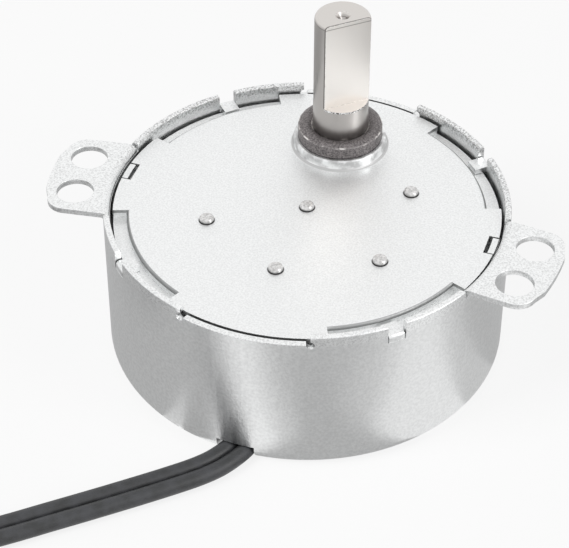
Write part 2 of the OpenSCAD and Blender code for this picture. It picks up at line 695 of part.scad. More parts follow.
// Shallow grease groove round the shaft, just inside the bush's mouth
grease_l = 0.6;
grease_depth = 0.1;
module output_gear() {
    color("lightgray") translate([output_at.x, output_at.y, 0]) difference() {
        gear_body(output_teeth, output_turn, gear_z0, gear_z0 + output_gear_t);
        translate([0, 0, gear_z0 - eps]) cylinder(r = shaft_d / 2 + press_gap, h = output_gear_t + 2 * eps);
    }
}
module output_shaft() {
    r = shaft_d / 2;
    end_r = r - end_relief;
    ledge_z = shaft_top - flat_l;
    mouth_z = cover_top + bush_out - 0.05;
    edge = 0.5;
    drill_r = 0.9;
    color("lightgray") translate([output_at.x, output_at.y, 0]) difference() {
        rotate_extrude() polygon(concat(
            [[0, pole_z0 + part_gap], [journal_r - 0.2, pole_z0 + part_gap],
             [journal_r, pole_z0 + part_gap + 0.2], [journal_r, gear_z0],
             [r, gear_z0], [r, clip_z0], [groove_r, clip_z0], [groove_r, clip_z0 + clip_t + 0.04],
             [r, clip_z0 + clip_t + 0.04], [r, mouth_z - grease_l], [r - grease_depth, mouth_z - grease_l / 2],
             [r, mouth_z], [r, ledge_z - end_relief_l], [end_r, ledge_z]],
            arc([end_r - edge, shaft_top - edge], edge, 0, 90, 5),
            [[drill_r, shaft_top], [0.25, shaft_top - 0.8], [0, shaft_top - 0.8]]));
        rotate([0, 0, flat_turn]) translate([shaft_flat_t - end_r, -r - 1, ledge_z - 0.01])
            cube([2 * r, 2 * r + 2, flat_l + 1]);
    }
}
module output_clip() {
    color("dimgray") translate([output_at.x, output_at.y, clip_z0 + 0.02]) difference() {
        cylinder(r = shaft_d / 2 + 1.3, h = clip_t);
        translate([0, 0, -eps]) cylinder(r = groove_r + press_gap, h = clip_t + 1);
        rotate([0, 0, 100]) translate([0, -groove_r * 0.8, -eps]) cube([10, groove_r * 1.6, clip_t + 1]);
    }
}
module output_washer() {
    color("wheat") ring(output_at, shaft_d / 2 + run_gap, shaft_d / 2 + 1.5, clip_z0 + clip_t + 0.1,
                        cover_under - 0.05);
}
module output_bush() {
    r0 = shaft_d / 2 + run_gap;
    r1 = bush_d / 2;
    z1 = cover_top + bush_out;
    edge = 0.4;
    mouth = 0.4;
    color("gray") translate([output_at.x, output_at.y, 0]) rotate_extrude()
        polygon([[r0, cover_under], [r1 - 0.2, cover_under], [r1, cover_under + 0.2], [r1, z1 - edge],
                 [r1 - edge, z1], [r0 + mouth, z1], [r0, z1 - mouth]]);
}
module lower_bush() {
    color("peru") translate([output_at.x, output_at.y, 0]) rotate_extrude()
        polygon([[journal_r + run_gap, pole_z0 + 0.1], [lower_bush_r, pole_z0 + 0.1], [lower_bush_r, frame_z1],
                 [lower_bush_r + 0.8, frame_z1], [lower_bush_r + 0.8, frame_z1 + bush_flange_t],
                 [journal_r + run_gap, frame_z1 + bush_flange_t]]);
}

can();
cover_plate();
gear_frame();
pole_plate();
coil_bobbin();
coil_winding();
coil_tape();
terminal_block();
terminal_pins();
rotor_pin();
rotor_washer();
rotor_magnet();
rotor_hub();
rotor_sleeve();
first_gear_pin();
second_gear_pin();
third_gear_pin();
fourth_gear_pin();
first_gear();
second_wheel();
second_pinion();
third_wheel();
third_pinion();
fourth_wheel();
fourth_pinion();
output_gear();
output_shaft();
output_clip();
output_washer();
output_bush();
lower_bush();
lead();
lead_coil();
lead_ends();
lead_tie();
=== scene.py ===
"""Looks of a synchronous gear motor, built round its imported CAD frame."""
import json
import math

import bmesh
import bpy
from mathutils import Matrix, Vector


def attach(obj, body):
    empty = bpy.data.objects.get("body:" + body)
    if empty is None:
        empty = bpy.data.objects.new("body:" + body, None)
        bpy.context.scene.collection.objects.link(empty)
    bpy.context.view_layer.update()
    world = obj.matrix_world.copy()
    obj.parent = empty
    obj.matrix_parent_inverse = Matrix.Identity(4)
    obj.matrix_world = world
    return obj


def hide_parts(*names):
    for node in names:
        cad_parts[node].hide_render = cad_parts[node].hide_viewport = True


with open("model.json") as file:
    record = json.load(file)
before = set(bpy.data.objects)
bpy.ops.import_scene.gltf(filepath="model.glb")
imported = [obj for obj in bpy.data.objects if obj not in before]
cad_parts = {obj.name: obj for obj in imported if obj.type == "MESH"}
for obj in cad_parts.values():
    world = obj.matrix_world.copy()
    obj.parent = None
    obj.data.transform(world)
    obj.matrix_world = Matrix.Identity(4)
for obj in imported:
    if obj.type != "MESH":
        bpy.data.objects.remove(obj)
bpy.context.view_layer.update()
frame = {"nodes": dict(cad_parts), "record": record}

bl_info = {
    "name": "Synchronous gear motor",
    "version": (1, 0, 0),
    "blender": (4, 5, 0),
    "location": "3D View > Sidebar > Motor",
    "description": "Finishes, lead and studio of a synchronous gear motor in a drawn steel can",
    "category": "Object",
}

MM = 0.001

# Route of the lead's middle line on the bench, in metres, from the terminal block outwards
LEAD_HEIGHT = 0.00102
LEAD_ROUTE = [(x, y, LEAD_HEIGHT) for x, y in (
    (-0.00015, -0.0220), (-0.0004, -0.0232), (-0.00075, -0.0244), (-0.0012, -0.0255),
    (-0.00175, -0.0266), (-0.0024, -0.0277), (-0.0032, -0.02875), (-0.0043, -0.02996),
    (-0.0058, -0.0314), (-0.0088, -0.0341), (-0.0133, -0.0380), (-0.0178, -0.0418),
    (-0.0222, -0.0455), (-0.0268, -0.0489), (-0.0318, -0.0513), (-0.0372, -0.0526),
    (-0.0426, -0.0529), (-0.0478, -0.05275), (-0.0530, -0.0526))]
ROUTE_STEPS = 4
LOBE_STEPS = 18

# The coil that the lead ends in, in metres and degrees. Its tail draws in over the last steps, and
# it rises where the tie goes under it.
COIL_CENTRE = (-0.0530, -0.0334)
COIL_RADIUS = 0.0192
COIL_PITCH = 0.0047
COIL_TURNS = 1.5
COIL_STEPS = 36
TAIL_IN = 0.0012
TAIL_STEPS = 5
TIE_ANGLE = 135
TIE_SPREAD = 20
TIE_LIFT = 0.00036

# Places on the motor, in metres
CAN_RADIUS = 25.0 * MM
PLATE_TOP = 19.55 * MM
SLOPE_DEPTH = 0.45 * MM
COLLAR_TOP = PLATE_TOP + 1.4 * MM
RIM_SLOPE = PLATE_TOP + 0.6 * MM
# Edge of the bush's chamfer, where a painted highlight runs in patches
BUSH_HIGHLIGHT = PLATE_TOP + 2.89 * MM
SHAFT_FOOT = PLATE_TOP + 3.0 * MM
LEDGE_Z = PLATE_TOP + 7.2 * MM
SHAFT_TOP = PLATE_TOP + 19.3 * MM
OUTPUT_AT = (0.0, 13.9 * MM)
FLAT_TURN = math.radians(-49)
FLAT_OFFSET = 1.72 * MM
# Across the motor, where the painted shade on the rim's back edge fades in
BACK_FADE = (-4 * MM, 8 * MM)
EAR_REACH = 32.3 * MM
EAR_WIDTH = 14.2 * MM
EAR_CORNER = 2.4 * MM
EAR_TURNS = (-7.6, 187.6)
PINS = ("rotor_pin", "first_gear_pin", "second_gear_pin", "third_gear_pin", "fourth_gear_pin")

# Half section of the bush, (radius, height): its bore's side, then its outside and the wide chamfer
BUSH_PROFILE = [(radius * MM, PLATE_TOP + height * MM) for radius, height in (
    (3.53, -0.75), (5.15, -0.75), (5.35, -0.55), (5.35, 2.93), (5.27, 3.01),
    (4.78, 3.24), (4.68, 3.27), (4.30, 3.27), (3.95, 3.18), (3.53, 2.92))]
BUSH_STEPS = 96

# Turns past which an edge is a cut edge, or the shading breaks
SHEET_TURN = math.radians(34)
BUSH_TURN = math.radians(24)
LEAD_TURN = math.radians(50)
# What counts as flat, and as one point in metres, when a mesh is cleaned
FLAT_ENOUGH = math.radians(0.3)
WELD = 1e-6
# Rounding of the cover's and the shaft's edges, as shares of the can's edge radius
COVER_ROUNDING = 1.6
SHAFT_ROUNDING = 2

# The picture's width and how far its middle is off the lens's axis, in pixels
IMAGE_WIDTH = 569
SHIFT_PX = (5.85, -3.37)
SENSOR_WIDTH = 36.0

# The stage, in metres and watts. The bench and the cards lie just under the motor, one on another.
BENCH_RADIUS = 1.5
BENCH_Z = -0.00006
BENCH_GLOW = 0.82
CARD_RADIUS = 0.075
CARD_Z = -0.00004
STRIP_LENGTH = 0.05
STRIPS = (
    # name, degrees round the wall from the camera, width, colour, height
    ("left_half_tone", -21, 0.022, "#DCDCDC", -0.00003),
    ("left_strip", -22.5, 0.015, "#FFFFFF", -0.00002),
    ("left_flag", -32, 0.005, "#B0B0B0", -0.00001),
    ("right_half_tone", 32, 0.034, "#CECECE", -0.00003),
    ("right_strip", 33, 0.016, "#F2F2F2", -0.00002),
)
LAMPS = (
    # name, place, size, power, whether reflections show it
    ("key_box", (-0.42, -0.38, 0.55), (0.30, 0.45), 2.6, False),
    ("fill_box", (0.60, -0.10, 0.40), (0.25, 0.45), 1.05, True),
)
LAMP_AIM = (0, 0, 0.015)


class MotorFinish(bpy.types.PropertyGroup):
    """Colours of the motor's finishes."""

    can_colour: bpy.props.StringProperty(
        name="Can", description="Colour of the zinc-plated can", default="#ECEDED")
    plate_colour: bpy.props.StringProperty(
        name="Cover plate", description="Colour of the zinc-plated cover plate", default="#F2F3F3")
    shaft_colour: bpy.props.StringProperty(
        name="Shaft", description="Colour of the ground shaft", default="#D7D3CF")
    bush_colour: bpy.props.StringProperty(
        name="Bush", description="Colour of the sintered bush", default="#706C6C")
    lead_colour: bpy.props.StringProperty(
        name="Lead", description="Colour of the lead's insulation", default="#3A3B3D")
    edge_radius: bpy.props.FloatProperty(
        name="Edge radius", description="Rounding of the sheet's cut edges", default=0.07 * MM,
        min=0.01 * MM, max=0.3 * MM, precision=5, unit="LENGTH")


class LeadShape(bpy.types.PropertyGroup):
    """Sizes of the flat twin lead."""

    width: bpy.props.FloatProperty(
        name="Width", description="Width across the two cores", default=4.0 * MM, unit="LENGTH")
    thickness: bpy.props.FloatProperty(
        name="Thickness", description="Thickness over one core", default=2.0 * MM, unit="LENGTH")
    web: bpy.props.FloatProperty(
        name="Web", description="Thickness of the web between the cores", default=0.5 * MM,
        unit="LENGTH")


class StudioSetup(bpy.types.PropertyGroup):
    """Camera and light."""

    heading: bpy.props.FloatProperty(
        name="Heading", description="Turn of the camera round the motor",
        default=math.radians(18.2), subtype="ANGLE")
    elevation: bpy.props.FloatProperty(
        name="Elevation", description="Angle of the view below the horizon",
        default=math.radians(40.66), subtype="ANGLE")
    distance: bpy.props.FloatProperty(
        name="Distance", description="Distance from the camera to the point it looks at",
        default=251.3 * MM, unit="LENGTH")
    focal_px: bpy.props.FloatProperty(
        name="Focal length", description="Focal length in pixels of the picture", default=2000.0)
    aim: bpy.props.FloatVectorProperty(
        name="Aim", description="Point that the camera looks at",
        default=(-3.05 * MM, -1.87 * MM, 10 * MM), subtype="TRANSLATION")
    sky: bpy.props.FloatProperty(
        name="Soft light", description="Strength of the light from all round", default=0.5)


def linear(colour):
    """Linear colour of an sRGB hex value."""
    parts = [int(colour[i:i + 2], 16) / 255 for i in (1, 3, 5)]
    return tuple(c / 12.92 if c <= 0.04045 else ((c + 0.055) / 1.055) ** 2.4
                 for c in parts) + (1.0,)


def shaded(colour, share):
    """A hex colour with each channel moved by a share."""
    parts = [min(255, max(0, round(int(colour[i:i + 2], 16) * (1 + share)))) for i in (1, 3, 5)]
    return "#%02X%02X%02X" % tuple(parts)


def add(tree, kind, inputs=None, **settings):
    """A node of that kind with its settings, values and links."""
    node = tree.nodes.new(kind)
    for name, value in settings.items():
        setattr(node, name, value)
    for name, value in (inputs or {}).items():
        if isinstance(value, bpy.types.NodeSocket):
            tree.links.new(value, node.inputs[name])
        else:
            node.inputs[name].default_value = value
    return node


def new_material(name, base=None, **shader):
    """(material, its tree, its main shader), with the shader's plain values set."""
    material = bpy.data.materials.new(name)
    material.use_nodes = True
    tree = material.node_tree
    surface = tree.nodes["Principled BSDF"]
    if base:
        surface.inputs["Base Color"].default_value = linear(base)
    for socket, value in shader.items():
        surface.inputs[socket.replace("_", " ")].default_value = value
    return material, tree, surface


def bare_material(name):
    """(material, its tree), with no nodes in it."""
    material = bpy.data.materials.new(name)
    material.use_nodes = True
    material.node_tree.nodes.clear()
    return material, material.node_tree


def object_place(tree):
    """The place on the motor, in metres."""
    return add(tree, "ShaderNodeTexCoord").outputs["Object"]


def seen_place(tree):
    """The place on the motor seen from above, with its height left out."""
    return add(tree, "ShaderNodeMapping", {
        "Vector": object_place(tree), "Scale": (1, 1, 0)}).outputs["Vector"]


def grain(tree, size, stretch=(1, 1, 1), detail=2.0, roughness=0.5):
    """Noise whose lumps are size metres across, longer along the axes with a stretch above 1."""
    scale = tuple(1 / (size * s) for s in stretch)
    mapped = add(tree, "ShaderNodeMapping", {"Vector": object_place(tree), "Scale": scale})
    return add(tree, "ShaderNodeTexNoise", {
        "Vector": mapped.outputs["Vector"], "Scale": 1.0, "Detail": detail,
        "Roughness": roughness}).outputs["Fac"]


def between(tree, factor, low, high, start=0.35, end=0.65):
    """The value from low to high as a factor goes from start to end."""
    return add(tree, "ShaderNodeMapRange", {
        "Value": factor, "From Min": start, "From Max": end, "To Min": low,
        "To Max": high}).outputs["Result"]


def tinted(tree, factor, dark, light, start=0.35, end=0.65):
    """The colour from dark to light as a factor goes from start to end."""
    ramp = add(tree, "ShaderNodeValToRGB", {"Fac": factor})
    for element, position, colour in zip(ramp.color_ramp.elements, (start, end), (dark, light)):
        element.position = position
        element.color = linear(colour)
    return ramp.outputs["Color"]


def blended(tree, factor, low, high):
    """The colour from low to high by a factor."""
    return add(tree, "ShaderNodeMixRGB", {
        "Fac": factor, "Color1": low, "Color2": high}).outputs["Color"]


def bumped(tree, height, depth):
    """A normal for lumps depth metres high."""
    return add(tree, "ShaderNodeBump", {
        "Height": height, "Strength": 1.0, "Distance": depth}).outputs["Normal"]


def combined(tree, operation, a, b):
    """Two factors put together by that operation and kept from 0 to 1."""
    return add(tree, "ShaderNodeMath", {0: a, 1: b}, operation=operation,
               use_clamp=True).outputs[0]


def from_height(tree, start, rise):
    """A factor that goes from 0 to 1 over a rise above a height on the motor."""
    parts = add(tree, "ShaderNodeSeparateXYZ", {"Vector": object_place(tree)})
    return between(tree, parts.outputs["Z"], 0.0, 1.0, start, start + rise)


def between_heights(tree, low, high, fade):
    """A factor that is 1 between two heights on the motor and fades out past them."""
    return combined(tree, "SUBTRACT", from_height(tree, low - fade, fade),
                    from_height(tree, high, fade))


def near_pins(tree, inner, outer):
    """A factor that is 1 within inner metres of a pin's middle and 0 beyond outer."""
    seen = seen_place(tree)
    nearest = None
    for node in PINS:
        corners = [Vector(corner) for corner in frame["nodes"][node].bound_box]
        middle = sum(corners, Vector()) / 8
        away = add(tree, "ShaderNodeVectorMath", {0: seen, 1: (middle.x, middle.y, 0)},
                   operation="DISTANCE").outputs["Value"]
        nearest = away if nearest is None else add(
            tree, "ShaderNodeMath", {0: nearest, 1: away}, operation="MINIMUM").outputs[0]
    return between(tree, nearest, 1.0, 0.0, inner, outer)


def back_lip_shade_mask(tree):
    """Where painted shade goes: a factor that is 1 on the rim's upper edge at the back, 0 at the
    front and on the ears.
    """
    away = add(tree, "ShaderNodeVectorMath", {0: seen_place(tree)}, operation="LENGTH")
    on_rim = between(tree, away.outputs["Value"], 1.0, 0.0, CAN_RADIUS + 0.02 * MM,
                     CAN_RADIUS + 0.1 * MM)
    lip = combined(tree, "MULTIPLY", from_height(tree, PLATE_TOP + 0.15 * MM, 0.2 * MM), on_rim)
    parts = add(tree, "ShaderNodeSeparateXYZ", {"Vector": object_place(tree)})
    return combined(tree, "MULTIPLY", lip,
                    between(tree, parts.outputs["Y"], 0.0, 1.0, *BACK_FADE))


def towards_flat(tree, start, rise):
    """A factor that goes from 0 to 1 over a rise past a distance short of the shaft's flat."""
    way = Vector((math.cos(FLAT_TURN), math.sin(FLAT_TURN), 0))
    along = add(tree, "ShaderNodeVectorMath", {0: object_place(tree), 1: way},
                operation="DOT_PRODUCT")
    plane = way.x * OUTPUT_AT[0] + way.y * OUTPUT_AT[1] + FLAT_OFFSET
    return between(tree, along.outputs["Value"], 0.0, 1.0, plane - start, plane - start + rise)


def drawn_zinc_steel(colour):
    """Deep-drawn steel sheet, zinc plated: satin, with an orange peel that sparkles where a
    reflection ends, and a rim galled by the drawing. Its upper edge at the back is darkened
    further, as painted shade."""
    material, tree, surface = new_material("drawn_zinc_steel", colour, Metallic=1.0)
    plating = grain(tree, 0.35 * MM, detail=3.0)
    peel = grain(tree, 0.30 * MM)
    lines = grain(tree, 0.5 * MM, stretch=(1, 1, 12))
    galled = grain(tree, 0.24 * MM, detail=4.0, roughness=0.7)
    wall = tinted(tree, plating, shaded(colour, -0.035), shaded(colour, 0.02))
    rim = tinted(tree, galled, shaded(colour, -0.08), shaded(colour, 0.05), 0.38, 0.56)
    # Painted shade: the rim's upper edge at the back is darkened, mottled by the galling
    lip = tinted(tree, galled, shaded(colour, -0.26), shaded(colour, 0.04), 0.40, 0.55)
    skin = blended(tree, from_height(tree, PLATE_TOP - 0.5 * MM, 0.3 * MM), wall, rim)
    skin = blended(tree, back_lip_shade_mask(tree), skin, lip)
    tree.links.new(skin, surface.inputs["Base Color"])
    tree.links.new(between(tree, lines, 0.30, 0.36), surface.inputs["Roughness"])
    tree.links.new(bumped(tree, peel, 0.022 * MM), surface.inputs["Normal"])
    return material


def pressed_zinc_steel(name, colour, marked):
    """Flat steel sheet, zinc plated: even and pale, with the plating's fine crystal grain.

    On the marked cover plate the slopes of the sunk arcs and the collar's root are darkened as
    painted shade, the collar carries painted shade in soft patches, and a dark ring round each pin
    is painted shade in its hole."""
    material, tree, surface = new_material(name, colour, Metallic=1.0)
    crystals = grain(tree, 0.22 * MM, detail=3.0)
    peel = grain(tree, 0.25 * MM)
    skin = tinted(tree, crystals, shaded(colour, -0.04), shaded(colour, 0.025))
    if marked:
        # Painted shade on the slopes of the sunk arcs
        slope = between_heights(tree, PLATE_TOP - SLOPE_DEPTH, PLATE_TOP - 0.06 * MM, 0.03 * MM)
        skin = blended(tree, slope, skin, linear(shaded(colour, -0.30)))
        # Painted shade in soft patches over the collar
        collar_shade_patches = grain(tree, 1.4 * MM, detail=3.0)
        mottle = tinted(tree, collar_shade_patches, shaded(colour, -0.20), shaded(colour, 0.02), 0.40, 0.62)
        collar = between_heights(tree, PLATE_TOP + 0.2 * MM, COLLAR_TOP, 0.1 * MM)
        skin = blended(tree, collar, skin, mottle)
        # Painted shade in the crease at the collar's root
        root = between_heights(tree, PLATE_TOP + 0.06 * MM, PLATE_TOP + 0.24 * MM, 0.05 * MM)
        skin = blended(tree, root, skin, linear(shaded(colour, -0.20)))
        # Painted shade: a dark ring round each pin, in the clearance of its hole
        skin = blended(tree, near_pins(tree, 0.95 * MM, 1.06 * MM), skin, linear("#4A4A4A"))
    tree.links.new(skin, surface.inputs["Base Color"])
    tree.links.new(between(tree, peel, 0.42, 0.50), surface.inputs["Roughness"])
    tree.links.new(bumped(tree, peel, 0.010 * MM), surface.inputs["Normal"])
    return material


def ground_steel(name, colour):
    """Centreless-ground steel, nickel plated: nearly smooth, with faint grinding rings."""
    material, tree, surface = new_material(name, colour, Metallic=1.0)
    rings = grain(tree, 0.12 * MM, stretch=(60, 60, 1), detail=3.0)
    tree.links.new(between(tree, rings, 0.288, 0.312), surface.inputs["Roughness"])
    tree.links.new(bumped(tree, rings, 0.0002 * MM), surface.inputs["Normal"])
    return material


def ground_shaft_steel(colour):
    """Centreless-ground steel, nickel plated. The milled flat and the faced top keep the plain
    colour; the round is painted darker as painted reflection, and darker still towards the bush as
    painted shade. Dark lines beside the flat and under the top edge are painted shade, and a burr
    lies under the flat's foot."""
    material = ground_steel("ground_shaft_steel", colour)
    tree = material.node_tree
    # Painted reflection and shade: the round is darker than the flat, and darker still towards the
    # bush
    skin = blended(tree, from_height(tree, SHAFT_FOOT, 1.6 * MM), linear(shaded(colour, -0.34)),
                   linear(shaded(colour, -0.14)))
    milled = combined(tree, "MULTIPLY", towards_flat(tree, 0.05 * MM, 0.03 * MM),
                      from_height(tree, LEDGE_Z - 0.03 * MM, 0.02 * MM))
    faced = from_height(tree, SHAFT_TOP - 0.30 * MM, 0.15 * MM)
    skin = blended(tree, combined(tree, "ADD", milled, faced), skin, linear(colour))
    # Painted shade: a dark line along the edge of the flat
    line = combined(tree, "SUBTRACT", towards_flat(tree, 0.20 * MM, 0.06 * MM),
                    towards_flat(tree, 0.05 * MM, 0.02 * MM))
    line = combined(tree, "MULTIPLY", line, from_height(tree, LEDGE_Z, 0.1 * MM))
    skin = blended(tree, line, skin, linear("#6A6663"))
    torn = combined(
        tree, "MULTIPLY",
        between_heights(tree, LEDGE_Z - 0.23 * MM, LEDGE_Z - 0.06 * MM, 0.03 * MM),
        towards_flat(tree, 0.05 * MM, 0.04 * MM))
    burr = tinted(tree, grain(tree, 0.16 * MM, detail=3.0), "#45413F", "#FFFFFF", 0.47, 0.53)
    skin = blended(tree, torn, skin, burr)
    # Painted shade: a dark line under the rounded top edge
    rolled = between_heights(tree, SHAFT_TOP - 0.50 * MM, SHAFT_TOP - 0.44 * MM, 0.04 * MM)
    skin = blended(tree, rolled, skin, linear("#8C8885"))
    tree.links.new(skin, tree.nodes["Principled BSDF"].inputs["Base Color"])
    return material


def sheared_edge(name, dark, light):
    """A cut steel edge, torn and burnished in turn: bright and dark specks along its length."""
    material, tree, surface = new_material(name, Metallic=1.0, Roughness=0.22)
    tears = grain(tree, 0.22 * MM, detail=3.0)
    tree.links.new(tinted(tree, tears, dark, light, 0.42, 0.54), surface.inputs["Base Color"])
    return material


def turned_pin_steel():
    """Turned steel pins: bright steel with a random smear, turning dark towards the plate as
    painted shade at their foot.
    """
    material, tree, surface = new_material("turned_pin_steel", Metallic=1.0, Roughness=0.28)
    smear = grain(tree, 0.3 * MM, detail=3.0)
    # Painted shade at the foot of each pin, where it meets the plate
    skin = blended(tree, from_height(tree, PLATE_TOP + 0.02 * MM, 0.32 * MM), linear("#343434"),
                   tinted(tree, smear, "#BDBCBB", "#EAE9E8"))
    tree.links.new(skin, surface.inputs["Base Color"])
    return material


def sintered_metal(name, colour, metallic, foot=None, highlight_height=None):
    """Pressed and sintered powder, soaked in oil: dull, mottled and pitted by its open pores.

    Painted shade darkens it up to just above the height foot, and a painted highlight brightens it
    in patches just above the height given for the highlight."""
    material, tree, surface = new_material(name, colour, Metallic=metallic, Roughness=0.46)
    pores = add(tree, "ShaderNodeTexVoronoi", {
        "Vector": object_place(tree), "Scale": 1 / (0.24 * MM)})
    mottle = grain(tree, 0.24 * MM, detail=5.0, roughness=0.7)
    skin = tinted(tree, mottle, shaded(colour, -0.26), shaded(colour, 0.30), 0.38, 0.62)
    # Painted highlight in patches along the chamfer's edge
    if highlight_height is not None:
        highlight_patches = between(tree, grain(tree, 1.2 * MM, detail=4.0), 0.1, 1.0, 0.46, 0.58)
        edge = between_heights(tree, highlight_height, highlight_height + 0.12 * MM, 0.04 * MM)
        skin = blended(tree, combined(tree, "MULTIPLY", edge, highlight_patches), skin, linear("#E4E0DD"))
    # Painted shade: nearly black up to just above the collar, in the crevice round the bush
    if foot is not None:
        skin = blended(tree, from_height(tree, foot, 0.14 * MM), linear("#0C0B0B"), skin)
    tree.links.new(skin, surface.inputs["Base Color"])
    tree.links.new(bumped(tree, pores.outputs["Distance"], 0.05 * MM), surface.inputs["Normal"])
    return material


def cut_gear_steel():
    """Blanked and hobbed steel, lightly oiled: grey, with a fine rolled grain."""
    material, tree, surface = new_material("cut_gear_steel", "#A9ABAD", Metallic=1.0)
    rolled = grain(tree, 0.15 * MM, stretch=(30, 1, 30))
    tree.links.new(between(tree, rolled, 0.28, 0.40), surface.inputs["Roughness"])
    tree.links.new(bumped(tree, rolled, 0.003 * MM), surface.inputs["Normal"])
    return material


def spring_steel():
    """Blued spring strip: dark and smooth."""
    material, tree, surface = new_material("blued_spring_steel", "#55585E", Metallic=1.0)
    streak = grain(tree, 0.4 * MM)
    tree.links.new(between(tree, streak, 0.25, 0.38), surface.inputs["Roughness"])
    return material


def moulded_plastic(name, colour, roughness, sheen=0.0):
    """Injection-moulded plastic: an even colour with a fine spark-eroded skin."""
    material, tree, surface = new_material(name, colour, IOR=1.48, Subsurface_Weight=sheen)
    skin = grain(tree, 0.25 * MM)
    tree.links.new(tinted(tree, skin, shaded(colour, -0.03), shaded(colour, 0.03)),
                   surface.inputs["Base Color"])
    tree.links.new(between(tree, skin, roughness - 0.04, roughness + 0.05),
                   surface.inputs["Roughness"])
    tree.links.new(bumped(tree, skin, 0.004 * MM), surface.inputs["Normal"])
    return material


def pvc_insulation(colour):
    """Soft extruded PVC: charcoal, satin, with faint marks where it was handled."""
    material, tree, surface = new_material("pvc_insulation", colour, IOR=1.52)
    rub = grain(tree, 1.6 * MM, detail=4.0)
    skin = grain(tree, 0.16 * MM, detail=3.0)
    tree.links.new(tinted(tree, rub, shaded(colour, -0.14), shaded(colour, 0.16)),
                   surface.inputs["Base Color"])
    tree.links.new(between(tree, rub, 0.36, 0.50), surface.inputs["Roughness"])
    tree.links.new(bumped(tree, skin, 0.008 * MM), surface.inputs["Normal"])
    return material


def ferrite():
    """Pressed and fired ferrite: matt charcoal with a mineral speckle."""
    material, tree, surface = new_material("fired_ferrite", "#3A3A3C", IOR=1.6)
    speck = grain(tree, 0.2 * MM, detail=4.0)
    tree.links.new(tinted(tree, speck, "#2E2E30", "#48484A"), surface.inputs["Base Color"])
    tree.links.new(between(tree, speck, 0.50, 0.68), surface.inputs["Roughness"])
    return material


def enamelled_wire():
    """Layer-wound enamelled copper wire, drawn coarser than its twentieth of a millimetre."""
    material, tree, surface = new_material("enamelled_wire", "#9A4E24", Metallic=0.6,
                                           Roughness=0.3)
    turns = add(tree, "ShaderNodeTexWave", {
        "Vector": object_place(tree), "Scale": 1 / (2 * math.pi * 0.2 * MM)}, bands_direction="Z")
    tree.links.new(bumped(tree, turns.outputs["Fac"], 0.03 * MM), surface.inputs["Normal"])
    return material


def tinned_copper():
    """Stranded copper dipped in solder: silvery, slightly lumpy."""
    material, tree, surface = new_material("tinned_copper", "#C8C4BC", Metallic=1.0)
    lumps = grain(tree, 0.3 * MM)
    tree.links.new(between(tree, lumps, 0.22, 0.42), surface.inputs["Roughness"])
    tree.links.new(bumped(tree, lumps, 0.03 * MM), surface.inputs["Normal"])
    return material


def finish_all(finish):
    """Every finish of the motor by the record's slot."""
    return {
        "zinc_steel": pressed_zinc_steel("pressed_zinc_steel", finish.plate_colour, False),
        "bright_steel": ground_steel("ground_steel", finish.shaft_colour),
        "gear_steel": cut_gear_steel(),
        "spring_steel": spring_steel(),
        "sintered_iron": sintered_metal("oiled_sintered_iron", finish.bush_colour, 0.6,
                                        foot=COLLAR_TOP, highlight_height=BUSH_HIGHLIGHT),
        "sintered_bronze": sintered_metal("oiled_sintered_bronze", "#9C7440", 0.9),
        "ferrite": ferrite(),
        "white_acetal": moulded_plastic("moulded_white_acetal", "#E9E7DF", 0.34, sheen=0.05),
        "bobbin_nylon": moulded_plastic("moulded_bobbin_nylon", "#D8D2C0", 0.5, sheen=0.05),
        "black_nylon": moulded_plastic("moulded_black_nylon", "#262627", 0.45),
        "enamelled_copper": enamelled_wire(),
        "polyester_tape": moulded_plastic("wound_polyester_tape", "#CDB24E", 0.22),
        "tinned_brass": tinned_copper(),
        "lead_pvc": pvc_insulation(finish.lead_colour),
        "tie_nylon": moulded_plastic("moulded_tie_nylon", "#DEDEDA", 0.36, sheen=0.08),
    }


def finished_mesh(name, bm):
    """The mesh of that name made from bm, which is freed."""
    mesh = bpy.data.meshes.new(name)
    bm.to_mesh(mesh)
    bm.free()
    return mesh


def placed(name, data):
    """A new object in the scene with that data."""
    thing = bpy.data.objects.new(name, data)
    bpy.context.scene.collection.objects.link(thing)
    return thing


def shown(name, mesh, material, body):
    """A new piece with that mesh, riding on a body."""
    piece = placed(name, mesh)
    mesh.materials.append(material)
    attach(piece, body)
    return piece


def sharp_edges(bm, angle):
    """Edges where the surface turns by more than an angle."""
    return [e for e in bm.edges if len(e.link_faces) == 2 and e.calc_face_angle(0.0) > angle]


def trim_ears(bm):
    """Draws the ears' corners back onto their round, where the node leaves a small tooth."""
    half = EAR_WIDTH / 2
    centre = Vector((math.sqrt(EAR_REACH ** 2 - half ** 2) - EAR_CORNER, half - EAR_CORNER))
    for turn in EAR_TURNS:
        spin = Matrix.Rotation(math.radians(turn), 3, "Z")
        for vert in bm.verts:
            place = spin.inverted() @ vert.co
            out = Vector((place.x, abs(place.y))) - centre
            if out.x > 0 and out.y > 0 and out.length > EAR_CORNER:
                out = centre + out.normalized() * EAR_CORNER
                vert.co = spin @ Vector((out.x, math.copysign(out.y, place.y), place.z))


def bevelled(bm, edges, width, segments):
    """Rounds those edges and returns the new faces."""
    return bmesh.ops.bevel(bm, geom=edges, offset=width, offset_type="OFFSET", segments=segments,
                           profile=0.5, affect="EDGES", clamp_overlap=True, material=-1)["faces"]


